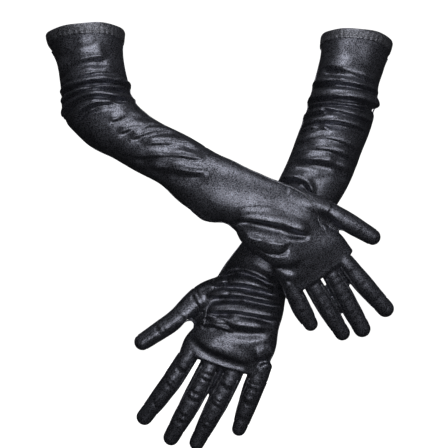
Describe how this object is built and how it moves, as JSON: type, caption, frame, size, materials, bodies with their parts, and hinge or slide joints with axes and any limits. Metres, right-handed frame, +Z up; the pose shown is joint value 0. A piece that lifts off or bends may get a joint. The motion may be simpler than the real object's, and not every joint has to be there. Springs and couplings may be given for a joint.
{
  "type": "opera gloves",
  "caption": "Elbow-length opera gloves in stretch satin, worn and crossed at the wrists, with turned hems, folded elbows and wrists, seamed fingers and a set-in thumb.",
  "frame": {"origin": "centre of the right glove's arm opening", "axes": "+Z up, from the fingertips to the arm openings; the backs of the hands face -Y; +X from the right glove towards the left glove"},
  "size_m": [0.3823, 0.1784, 0.4708],
  "materials": {
    "satin": "satin",
    "hem": "satin"
  },
  "bodies": {
    "right_sleeve": {"right_hem": "hem", "right_sleeve_back": "satin", "right_sleeve_palm": "satin", "right_elbow_fold": "satin"},
    "right_forearm": {"right_forearm_back": "satin", "right_forearm_palm": "satin", "right_wrist_fold": "satin"},
    "right_hand": {"right_hand_back": "satin", "right_hand_palm": "satin"},
    "right_thumb": {"right_thumb_back": "satin", "right_thumb_palm": "satin"},
    "right_index": {"right_index_back": "satin", "right_index_fourchette": "satin", "right_index_palm": "satin"},
    "right_middle": {"right_middle_back": "satin", "right_middle_fourchette_inner": "satin", "right_middle_fourchette_outer": "satin", "right_middle_palm": "satin"},
    "right_ring": {"right_ring_back": "satin", "right_ring_fourchette_inner": "satin", "right_ring_fourchette_outer": "satin", "right_ring_palm": "satin"},
    "right_little": {"right_little_back": "satin", "right_little_fourchette": "satin", "right_little_palm": "satin"},
    "left_sleeve": {"left_hem": "hem", "left_sleeve_back": "satin", "left_sleeve_palm": "satin", "left_elbow_fold": "satin"},
    "left_forearm": {"left_forearm_back": "satin", "left_forearm_palm": "satin", "left_wrist_fold": "satin"},
    "left_hand": {"left_hand_back": "satin", "left_hand_palm": "satin"},
    "left_thumb": {"left_thumb_back": "satin", "left_thumb_palm": "satin"},
    "left_index": {"left_index_back": "satin", "left_index_fourchette": "satin", "left_index_palm": "satin"},
    "left_middle": {"left_middle_back": "satin", "left_middle_fourchette_inner": "satin", "left_middle_fourchette_outer": "satin", "left_middle_palm": "satin"},
    "left_ring": {"left_ring_back": "satin", "left_ring_fourchette_inner": "satin", "left_ring_fourchette_outer": "satin", "left_ring_palm": "satin"},
    "left_little": {"left_little_back": "satin", "left_little_fourchette": "satin", "left_little_palm": "satin"}
  },
  "joints": [
    {"name": "left_glove_apart", "type": "slide", "parent": "right_sleeve", "child": "left_sleeve", "axis": [0, 1, 0], "range_m": [0, 0.25]},
    {"name": "right_elbow", "type": "hinge", "parent": "right_sleeve", "child": "right_forearm", "pos_m": [0.01736, -0.02111, -0.08136], "axis": [-0.075, -0.9846, 0.158], "range_deg": [-50, 28], "deforming": ["right_elbow_fold"]},
    {"name": "right_wrist", "type": "hinge", "parent": "right_forearm", "child": "right_hand", "pos_m": [0.16867, -0.05672, -0.18067], "axis": [0.298, 0, 0.9546], "range_deg": [-50, 12], "deforming": ["right_wrist_fold"]},
    {"name": "right_thumb", "type": "hinge", "parent": "right_hand", "child": "right_thumb", "pos_m": [0.26625, -0.05369, -0.19739], "axis": [-0.4853, -0.1034, 0.8682], "range_deg": [-5, 36]},
    {"name": "right_index", "type": "hinge", "parent": "right_hand", "child": "right_index", "pos_m": [0.2851, -0.03932, -0.24893], "axis": [0.7577, 0, 0.6527], "range_deg": [-10, 72]},
    {"name": "right_middle", "type": "hinge", "parent": "right_hand", "child": "right_middle", "pos_m": [0.26787, -0.03798, -0.2647], "axis": [0.8651, 0, 0.5016], "range_deg": [-10, 72]},
    {"name": "right_ring", "type": "hinge", "parent": "right_hand", "child": "right_ring", "pos_m": [0.24952, -0.03789, -0.27787], "axis": [0.8915, 0, 0.453], "range_deg": [-10, 72]},
    {"name": "right_little", "type": "hinge", "parent": "right_hand", "child": "right_little", "pos_m": [0.22834, -0.0385, -0.28826], "axis": [0.9552, 0, 0.2958], "range_deg": [-10, 72]},
    {"name": "left_elbow", "type": "hinge", "parent": "left_sleeve", "child": "left_forearm", "pos_m": [0.27978, 0.04815, -0.08008], "axis": [-0.0287, 0.9946, -0.0998], "range_deg": [-15, 42], "deforming": ["left_elbow_fold"]},
    {"name": "left_wrist", "type": "hinge", "parent": "left_forearm", "child": "left_hand", "pos_m": [0.1842, 0.00612, -0.2646], "axis": [-0.8226, 0, 0.5687], "range_deg": [-55, 10], "deforming": ["left_wrist_fold"]},
    {"name": "left_thumb", "type": "hinge", "parent": "left_hand", "child": "left_thumb", "pos_m": [0.11846, 0.00045, -0.29999], "axis": [-0.3794, -0.0708, -0.9225], "range_deg": [-5, 36]},
    {"name": "left_index", "type": "hinge", "parent": "left_hand", "child": "left_index", "pos_m": [0.10567, 0.01057, -0.35754], "axis": [0.8351, 0, -0.5502], "range_deg": [-10, 72]},
    {"name": "left_middle", "type": "hinge", "parent": "left_hand", "child": "left_middle", "pos_m": [0.13143, 0.0095, -0.368], "axis": [0.8911, 0, -0.4538], "range_deg": [-10, 72]},
    {"name": "left_ring", "type": "hinge", "parent": "left_hand", "child": "left_ring", "pos_m": [0.15665, 0.00956, -0.3771], "axis": [0.9049, 0, -0.4256], "range_deg": [-10, 72]},
    {"name": "left_little", "type": "hinge", "parent": "left_hand", "child": "left_little", "pos_m": [0.18374, 0.00897, -0.38141], "axis": [0.9567, 0, -0.2909], "range_deg": [-10, 72]}
  ]
}
